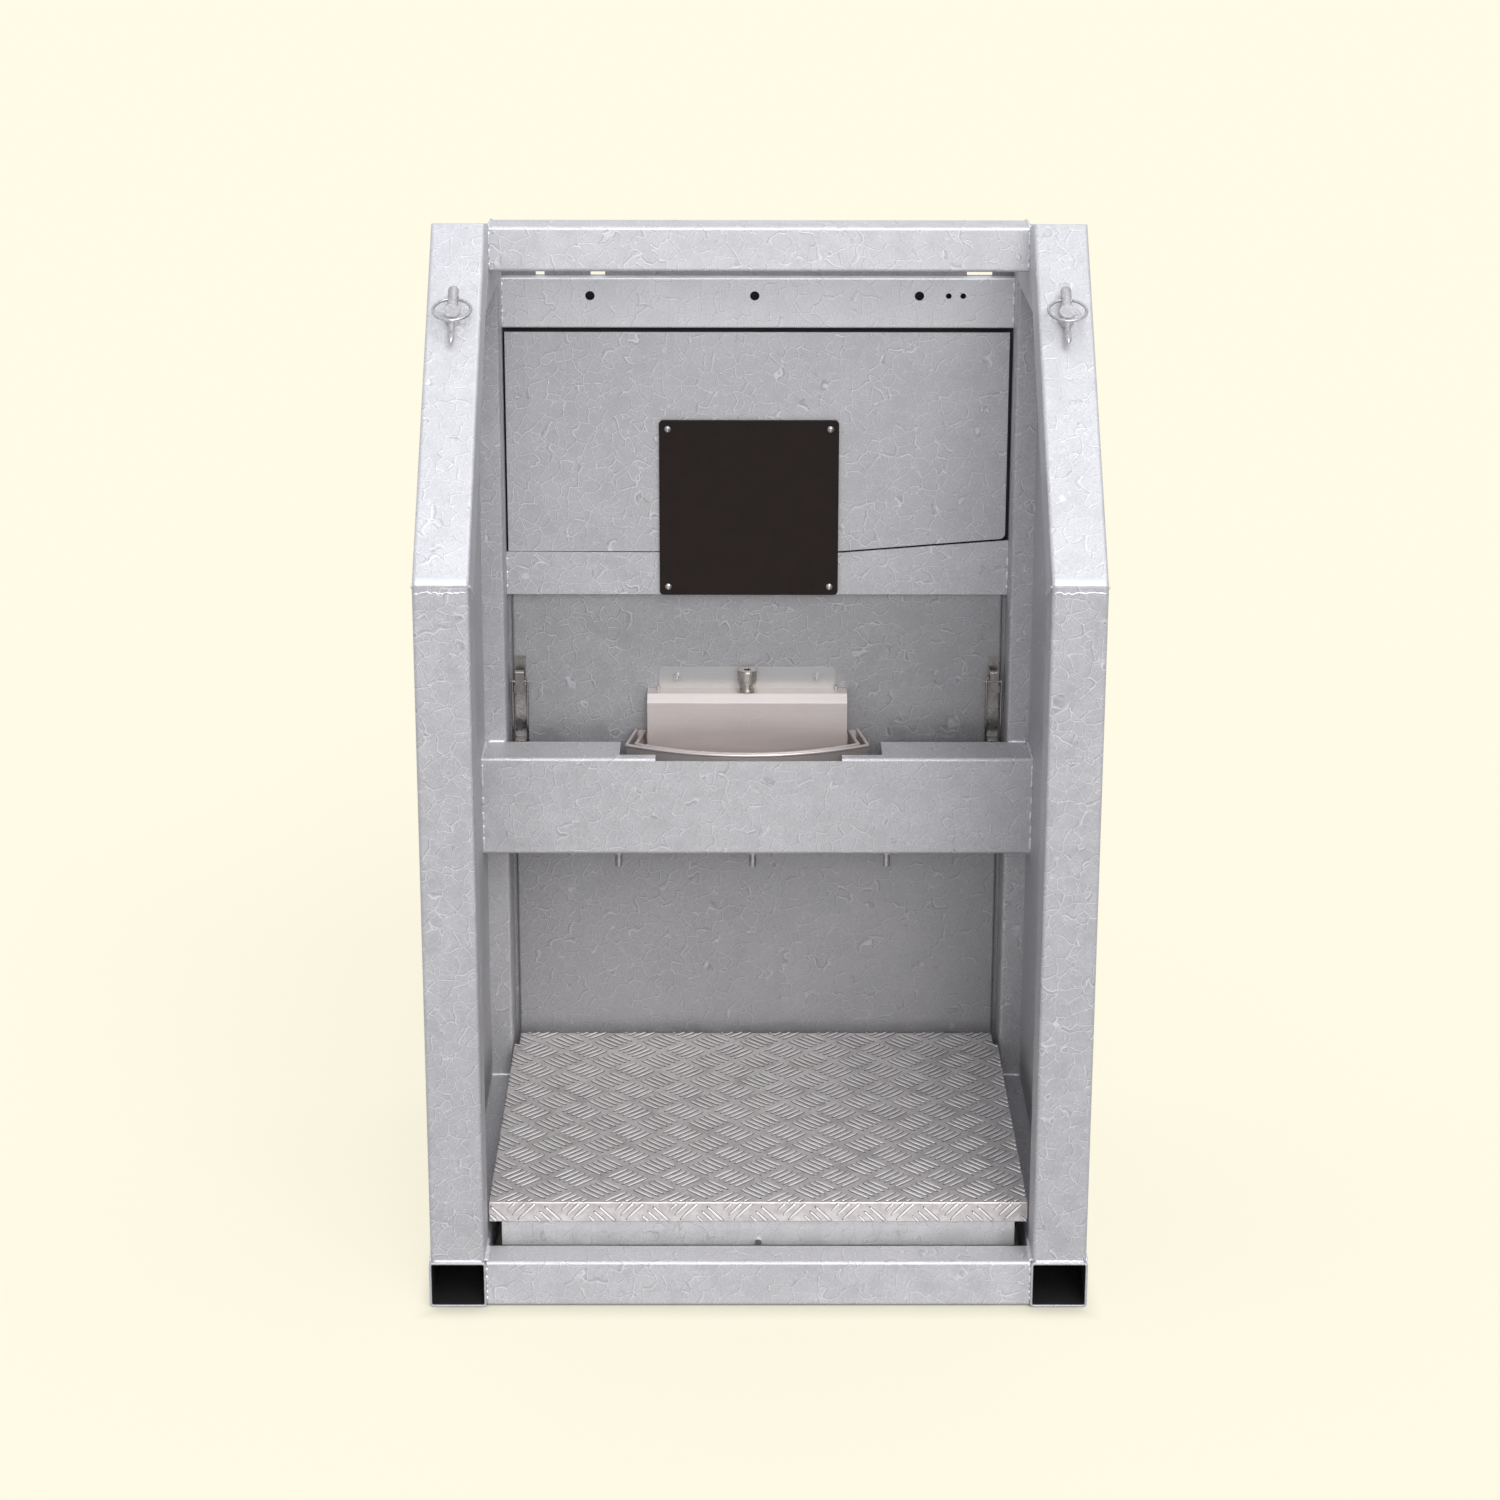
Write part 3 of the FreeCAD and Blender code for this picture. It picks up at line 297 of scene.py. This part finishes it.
# each galvanised piece is a little lighter or darker: partly its own tone from the zinc bath, partly painted
# light and shade for how brightly it is lit
TONE_AND_LIGHT_TINTS = {
    "back_panel": 0.72, "drilled_beam": 1.37, "front_crossbar": 1.15, "left_sloping_rail": 1.22,
    "lower_strip": 1.08, "mid_rail": 1.15, "right_sloping_rail": 1.15, "top_beam": 1.25,
    "upper_panel": 1.04, "weigh_frame": 1.60,
}
BRIGHTEST = 0.86
for part, factor in TONE_AND_LIGHT_TINTS.items():
    MATS[part] = galvanised(part + "_zinc", tuple(min(BRIGHTEST, c * factor) for c in GALV))
OWN_LOOK = {"rear_cover": "rear_cover", "left_base_tube": "base_tube", "right_base_tube": "base_tube",
            "cover_bracket": "cover_bracket", **{part: part for part in TONE_AND_LIGHT_TINTS}}


# ------------------------------------------------------------- CAD surfaces
def shade_group():
    """Welds a CAD mesh, drops its stored normals and shades it smooth up to 30 degrees."""
    g = bpy.data.node_groups.new("cad_shade", "GeometryNodeTree")
    for way in ("INPUT", "OUTPUT"):
        g.interface.new_socket("Geometry", in_out=way, socket_type="NodeSocketGeometry")
    t = Tree(g)
    start = t.add("NodeGroupInput")
    drop = t.add("GeometryNodeRemoveAttribute", {"Geometry": start.outputs[0], "Name": "custom_normal"})
    weld = t.add("GeometryNodeMergeByDistance", {"Geometry": drop.outputs[0], "Distance": 0.00001})
    smooth = t.add("GeometryNodeSetShadeSmooth", {"Geometry": weld.outputs[0], "Shade Smooth": True})
    angle = t.add("GeometryNodeInputMeshEdgeAngle")
    sharp = t.add("FunctionNodeCompare", {0: angle.outputs["Unsigned Angle"], 1: math.radians(30)},
                  data_type="FLOAT", operation="GREATER_THAN")
    hard = t.add("GeometryNodeSetShadeSmooth", {"Geometry": smooth.outputs[0], "Shade Smooth": False,
                                                "Selection": sharp.outputs[0]}, domain="EDGE")
    end = t.add("NodeGroupOutput")
    t.l.new(hard.outputs[0], end.inputs[0])
    return g


AS_PACKED = {"bowl", "bowl_liner"}
# small pieces, and the thin panel, take the finer rounding of their edges
SMALL = ("latch", "linch", "pin_stud", "screws", "studs", "nuts", "bolts", "fitting", "float",
         "load_cell", "_screw", "back_panel")
ROUND, FINE_ROUND = 0.0008, 0.00025
FLAT_ANGLE, EDGE_ANGLE = math.radians(0.4), math.radians(38)
PANEL_COAT = 0.0022


def dress_cad():
    shade = shade_group()
    for name, obj in NODES.items():
        packed = obj.data.materials[0].name.split(".")[0]
        look = MATS["latch" if "latch" in name else OWN_LOOK.get(name, packed)]
        for s in obj.material_slots:
            s.material = look
        if name in AS_PACKED:
            continue
        mod = obj.modifiers.new("shade", "NODES")
        mod.node_group = shade
        plane = obj.modifiers.new("plane", "DECIMATE")
        plane.decimate_type = "DISSOLVE"
        plane.angle_limit = FLAT_ANGLE
        if name == "back_panel":
            # a fuller sheet closes the hairline gap beside the rounded posts
            coat = obj.modifiers.new("coat", "DISPLACE")
            coat.strength = PANEL_COAT
            coat.mid_level = 0.0
        edge = obj.modifiers.new("edge", "BEVEL")
        edge.width = FINE_ROUND if any(k in name for k in SMALL) else ROUND
        edge.segments = 2
        edge.limit_method = "ANGLE"
        edge.angle_limit = EDGE_ANGLE
        edge.use_clamp_overlap = True
        edge.miter_outer = "MITER_ARC"
        flat = obj.modifiers.new("flat", "WEIGHTED_NORMAL")
        flat.weight = 100
        flat.keep_sharp = True


# --------------------------------------------------------------- new pieces
def piece(name, verts, faces, look, body="station_frame"):
    mesh = bpy.data.meshes.new(name)
    mesh.from_pydata(verts, [], faces)
    mesh.validate()
    mesh.update()
    obj = bpy.data.objects.new(name, mesh)
    SCENE.collection.objects.link(obj)
    mesh.materials.append(MATS[look])
    for p in mesh.polygons:
        p.use_smooth = True
    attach(obj, body)
    return obj


def tread_bars():
    """Five-bar tread pattern, in mm: groups of five raised lenses, alternate groups turned a
    quarter, folded over the front lip."""
    half_long, half_wide, high, lift = 20.5, 2.5, 2.2, 0.3
    pitch, gap, first_x, first_y = 71.0, 9.6, -31.6, 2.0
    top, front, rear = PLATE_HI.z / MM, PLATE_LO.y / MM, PLATE_HI.y / MM
    lip = (PLATE_HI.z - PLATE_LO.z) / MM
    half_x, notch_x, notch_y, clear = PLATE_HI.x / MM, 347.0, 262.0, 1.5
    steps, across = 8, (-1.0, -0.55, 0.0, 0.55, 1.0)
    verts, faces = [], []

    def inside(u, v):
        if v < front:
            return abs(u) < half_x - clear and v > front - lip + 1.0
        return abs(u) < (half_x if v < notch_y else notch_x) - clear and v < rear - clear

    def bar(cu, cv, du, dv):
        """One lens, cut into its part on the plate and its part on the lip."""
        for on_lip in (False, True):
            keep = []
            for k in range(-40, 41):
                t = k / 40.0
                u, v = cu + t * half_long * du, cv + t * half_long * dv
                if inside(u, v) and (v < front - 2.2 if on_lip else v > front + 1.6):
                    keep.append(t)
            if len(keep) < 12:
                continue
            t0, t1 = keep[0], keep[-1]
            first = len(verts)
            for i in range(steps + 1):
                t = t0 + (t1 - t0) * i / steps
                shape = max(0.0, 1.0 - t * t) ** 0.5
                for a in across:
                    w = half_wide * (0.25 + 0.75 * shape) * a
                    h = -lift + (high * (0.35 + 0.65 * shape) + lift) * (1.0 - a * a)
                    if abs(t) > 0.995:
                        h = -lift
                    u = cu + t * half_long * du - w * dv
                    v = cv + t * half_long * dv + w * du
                    if on_lip:
                        verts.append((u * MM, (front - h) * MM, (top - (front - v)) * MM))
                    else:
                        verts.append((u * MM, v * MM, (top + h) * MM))
            n = len(across)
            for i in range(steps):
                for j in range(n - 1):
                    a = first + i * n + j
                    faces.append((a, a + n, a + n + 1, a + 1))
            faces.append(tuple(first + j for j in range(n)))
            faces.append(tuple(first + steps * n + j for j in reversed(range(n))))
            faces.append(tuple(first + i * n for i in reversed(range(steps + 1)))
                         + tuple(first + i * n + n - 1 for i in range(steps + 1)))

    r = math.sqrt(0.5)
    for row in range(-2, 18):
        for col in range(-11, 12):
            if (row + col) % 2:
                continue
            turn = 1 if row % 2 == 0 else -1
            cu, cv = first_x + col * pitch / 2, front + first_y + row * pitch / 2
            du, dv = r, r * turn
            for k in range(-2, 3):
                bar(cu - k * gap * dv, cv + k * gap * du, du, dv)
    piece("tread_bars", verts, faces, "tread_bar")


BEAD_SIDES, BEAD_STEP, RIPPLE = 8, 1.1, 3.4


def bead(verts, faces, path, radius, rng, dashes=None):
    """One run of weld: overlapping ripples along a line of points, in mm."""
    pts = [Vector(p) for p in path]
    run = [0.0]
    for a, b in zip(pts, pts[1:]):
        run.append(run[-1] + (b - a).length)
    for s0, s1 in dashes or [(0.0, run[-1])]:
        ring, s = [], s0
        phase = rng.random() * 6.28
        while s <= s1 + 1e-6:
            k = max(i for i in range(len(run)) if run[i] <= s + 1e-9)
            k = min(k, len(pts) - 2)
            d = (pts[k + 1] - pts[k]).normalized()
            at = pts[k] + d * (s - run[k])
            e = min(s - s0, s1 - s)
            cap = min(1.0, math.sqrt(max(0.0, e) / (radius * 1.2) + 0.02))
            ripple = 0.80 + 0.20 * abs(math.sin(s * math.pi / RIPPLE + phase)) + rng.uniform(-0.05, 0.05)
            side = d.cross(Vector((0.3, 0.5, 0.81))).normalized()
            other = d.cross(side)
            wob = Vector((rng.uniform(-1, 1), rng.uniform(-1, 1), rng.uniform(-1, 1))) * radius * 0.10
            ring.append(len(verts))
            for j in range(BEAD_SIDES):
                ang = j * math.tau / BEAD_SIDES
                p = at + wob + (side * math.cos(ang) + other * math.sin(ang)) * radius * cap * ripple
                verts.append(tuple(p * MM))
            s += BEAD_STEP
        for a, b in zip(ring, ring[1:]):
            for j in range(BEAD_SIDES):
                k = (j + 1) % BEAD_SIDES
                faces.append((a + j, a + k, b + k, b + j))
        if len(ring) > 1:
            faces.append(tuple(ring[0] + j for j in reversed(range(BEAD_SIDES))))
            faces.append(tuple(ring[-1] + j for j in range(BEAD_SIDES)))


POST_IN, POST_OUT = 355.0, 425.0        # a post's side faces, in mm from the middle
BASE_TOP = 63.4                         # height of the beads round the posts' feet
# the other beads of one side, listed one by one: both ends, radius, dashes, all in mm
SIDE_BEADS = (
    # front and rear posts beside the tread plate
    ((352.4, -334.2, 6), (352.4, -334.2, 57), 2.0, [(2, 8), (10, 17), (20, 24), (27, 38), (40, 49)]),
    ((352.4, -331, 62.6), (352.4, -289, 62.6), 1.9, None),
    ((352.4, 289, 62.6), (352.4, 331, 62.6), 1.9, None),
    ((352.4, 334.6, 6), (352.4, 334.6, 57), 2.0, None),
    # lower cross beam
    ((386.0, 190.2, 438), (386.0, 190.2, 573), 1.8, [(2, 22), (26, 40), (46, 60), (70, 82), (96, 130)]),
    ((386.0, 192, 577.2), (386.0, 263, 577.2), 1.7, None),
    ((357.0, 264.4, 577.4), (385.0, 264.4, 577.4), 2.2, None),
    # upper cross beam
    ((354.6, 97.2, 1284), (354.6, 97.2, 1336), 1.8, [(1, 9), (13, 27), (31, 50)]),
    ((354.6, 99, 1340), (354.6, 155, 1340), 1.7, None),
    ((354.6, 157, 1284), (354.6, 157, 1336), 1.8, None),
    # panels between the rear posts
    ((354.4, 314.8, 1168), (354.4, 314.8, 1230), 1.9, [(1, 12), (16, 22), (27, 41), (45, 60)]),
    ((354.4, 335.2, 1168), (354.4, 335.2, 1230), 1.9, None),
    ((354.4, 314.6, 786), (354.4, 314.6, 838), 1.8, [(3, 10), (16, 30), (36, 50)]),
)


def welds():
    rng = random.Random(11)
    drop = 70.0 * math.tan(math.radians(22.5))
    for s, name in ((-1, "weld_left"), (1, "weld_right")):
        verts, faces = [], []

        def add(path, radius, dashes=None):
            bead(verts, faces, path, radius * 1.25, rng, dashes)

        i, o = s * POST_IN, s * POST_OUT
        # the mitre of the sloping rail, across and down both sides
        add([(i + (o - i) * k / 24.0, -335.0, 961.0 + rng.uniform(-1.4, 1.4)) for k in range(1, 24)], 0.9)
        for x in (i, o):
            add([(x, -333, 969), (x, -267, 970 - drop)], 1.6)
        for y0, y1 in ((-335, -265), (265, 335)):
            for x in (i, o):
                add([(x, y0 + 3, BASE_TOP), (x, y1 - 3, BASE_TOP)], 2.0)
            for y in (y0, y1):
                add([(i + s * 3, y, BASE_TOP), (o - s * 3, y, BASE_TOP)], 1.7)
        for start, end, radius, dashes in SIDE_BEADS:
            add([(s * x, y, z) for x, y, z in (start, end)], radius, dashes)
        piece(name, verts, faces, "weld")


def ground_seams():
    """The mitre welds are ground flush: a smooth bright band on the foot of each sloping rail."""
    rng = random.Random(5)
    slope = Vector((0.0, math.sqrt(0.5), math.sqrt(0.5)))
    out = Vector((0.0, -math.sqrt(0.5), math.sqrt(0.5)))
    start = Vector((0.0, -335.0, 970.0))
    n = 28
    for s, name in ((-1, "ground_seam_left"), (1, "ground_seam_right")):
        verts, faces = [], []
        for k in range(n + 1):
            x = s * (358.0 + 64.0 * k / n)
            tall = 13.0 + rng.uniform(-0.6, 0.6)
            for along, high in ((0.6, -0.6), (1.2, 0.10), (tall * 0.5, 0.22), (tall - 1.0, 0.10), (tall, -0.6)):
                p = start + Vector((x, 0, 0)) + slope * along + out * high
                verts.append(tuple(p * MM))
        for k in range(n):
            a = k * 5
            quads = [(a + j, a + j + 5, a + j + 6, a + j + 1) for j in range(4)]
            for quad in quads + [(a + 4, a + 9, a + 5, a)]:
                faces.append(quad if s > 0 else quad[::-1])
        for a in (0, n * 5):
            ring = tuple(a + j for j in range(5))
            faces.append(ring if (a == 0) == (s > 0) else ring[::-1])
        piece(name, verts, faces, "ground")


def knurl():
    """Diamond knurling round the coupling nut, in mm."""
    lo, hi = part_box("water_fitting")
    cx, cy = (lo.x + hi.x) / 2 / MM, (lo.y + hi.y) / 2 / MM
    top = hi.z / MM
    around, rows, inner, outer, teeth, twist = 144, 22, 12.4, 12.95, 30, 9
    z0, z1 = top - 17.5, top - 1.5
    verts, faces = [], []
    for j in range(rows + 1):
        v = j / rows
        z = z0 + (z1 - z0) * v
        edge = min(1.0, min(v, 1 - v) * 9)
        for i in range(around):
            a = math.tau * i / around
            cut = abs(math.sin(a * teeth / 2 + v * twist)) * abs(math.sin(a * teeth / 2 - v * twist))
            rad = outer + edge * (0.15 + 0.55 * cut)
            verts.append(((cx + rad * math.cos(a)) * MM, (cy + rad * math.sin(a)) * MM, z * MM))
    for z in (z0, z1):
        for i in range(around):
            a = math.tau * i / around
            verts.append(((cx + inner * math.cos(a)) * MM, (cy + inner * math.sin(a)) * MM, z * MM))
    low, high = (rows + 1) * around, (rows + 2) * around
    for i in range(around):
        k = (i + 1) % around
        for j in range(rows):
            a = j * around
            faces.append((a + i, a + k, a + around + k, a + around + i))
        a = rows * around
        faces.append((a + i, a + k, high + k, high + i))
        faces.append((i, low + i, low + k, k))
        faces.append((low + i, high + i, high + k, low + k))
    piece("coupling_knurl", verts, faces, "nickel")


# --------------------------------------------------------------------- stage
CREAM = rgb(1.0, 0.956, 0.775)          # the backdrop as the camera sees it
FLOOR_HALF, FLOOR_Z = 60, -0.0005
FOOT_X, FOOT_Y, FOOT_FADE = 0.40, 0.33, 0.05
# name, strength, spread, tilt from overhead and turn, in degrees
SUNS = (("key", 1.05, 32, 44, 24), ("front", 0.84, 24, 68, 4))


def pick_camera(t, others, camera, out):
    """One shader for what the camera sees, another for the light that reaches the object."""
    seen = t.add("ShaderNodeLightPath").outputs["Is Camera Ray"]
    pick = t.add("ShaderNodeMixShader", {0: seen, 1: others.outputs[0], 2: camera.outputs[0]})
    t.l.new(pick.outputs[0], out.inputs["Surface"])


def stage_world():
    world = bpy.data.worlds.new("studio")
    SCENE.world = world
    world.use_nodes = True
    t = Tree(world.node_tree)
    back = t.n["Background"]
    up = t.axes(t.add("ShaderNodeTexCoord").outputs["Generated"])[2]
    sky = t.mix(t.span(up, -0.05, 0.95), rgb(0.72, 0.725, 0.75), rgb(1.12, 1.15, 1.22))
    t.l.new(sky, back.inputs["Color"])
    back.inputs["Strength"].default_value = 0.84
    plain = t.add("ShaderNodeBackground", {"Color": CREAM, "Strength": 1.0})
    pick_camera(t, back, plain, t.n["World Output"])


def stage_floor():
    """A cream floor, unlit away from the object and shaded under its footprint."""
    h, z = FLOOR_HALF, FLOOR_Z
    mesh = bpy.data.meshes.new("floor")
    mesh.from_pydata([(-h, -h, z), (h, -h, z), (h, h, z), (-h, h, z)], [], [(0, 1, 2, 3)])
    floor = bpy.data.objects.new("floor", mesh)
    SCENE.collection.objects.link(floor)
    mat = bpy.data.materials.new("floor_look")
    mat.use_nodes = True
    t = Tree(mat.node_tree)
    t.n.remove(t.n["Principled BSDF"])
    lit = t.add("ShaderNodeBsdfDiffuse", {"Color": rgb(0.70, 0.67, 0.543)})
    glow = t.add("ShaderNodeEmission", {"Color": CREAM, "Strength": 1.075})
    place = t.axes(t.position())
    past_x = t.math("SUBTRACT", t.math("ABSOLUTE", place[0]), FOOT_X)
    past_y = t.math("SUBTRACT", t.math("ABSOLUTE", place[1]), FOOT_Y)
    open_floor = t.span(t.math("MAXIMUM", past_x, past_y), 0.0, FOOT_FADE, 0.0, 0.72)
    cream = t.add("ShaderNodeMixShader", {0: open_floor, 1: lit.outputs[0], 2: glow.outputs[0]})
    plain = t.add("ShaderNodeBsdfDiffuse", {"Color": rgb(0.55, 0.54, 0.53)})
    pick_camera(t, plain, cream, t.n["Material Output"])
    mesh.materials.append(mat)


def stage_suns():
    for name, power, spread, tilt, turn in SUNS:
        data = bpy.data.lights.new(name, "SUN")
        data.energy = power
        data.angle = math.radians(spread)
        data.color = (1.0, 0.99, 0.98)
        lamp = bpy.data.objects.new(name, data)
        lamp.rotation_euler = (math.radians(tilt), 0.0, math.radians(turn))
        SCENE.collection.objects.link(lamp)


make_camera()
dress_cad()
tread_bars()
welds()
ground_seams()
knurl()
stage_world()
stage_floor()
stage_suns()
